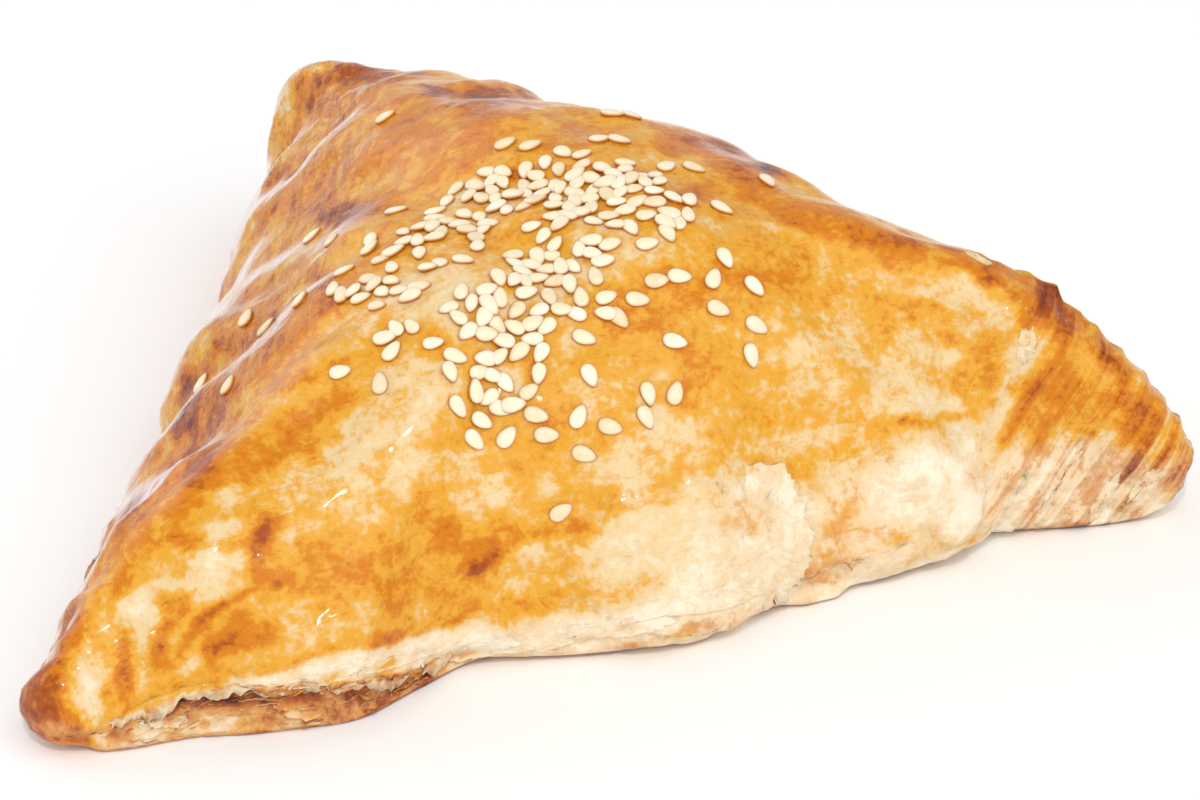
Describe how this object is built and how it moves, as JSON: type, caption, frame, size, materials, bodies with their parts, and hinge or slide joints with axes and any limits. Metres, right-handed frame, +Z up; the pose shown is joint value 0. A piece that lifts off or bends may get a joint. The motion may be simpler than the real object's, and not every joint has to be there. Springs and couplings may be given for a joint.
{
  "type": "samsa",
  "caption": "Triangular baked puff pastry parcel with a domed top, a flat base and sesame seeds scattered over its crown.",
  "frame": {"origin": "middle of the bounding box on the plan, on the ground under the flat base", "axes": "+X along the front side from the left to the right corner, +Y from the front side to the back corner, +Z up"},
  "size_m": [0.1538, 0.1272, 0.0466],
  "materials": {
    "puff_pastry": "baked puff dough, egg glazed, golden to brown with pale cream patches",
    "sesame_seed": "hulled sesame seeds, cream white"
  },
  "bodies": {
    "root": {"samsa": "puff_pastry"}
  },
  "joints": []
}
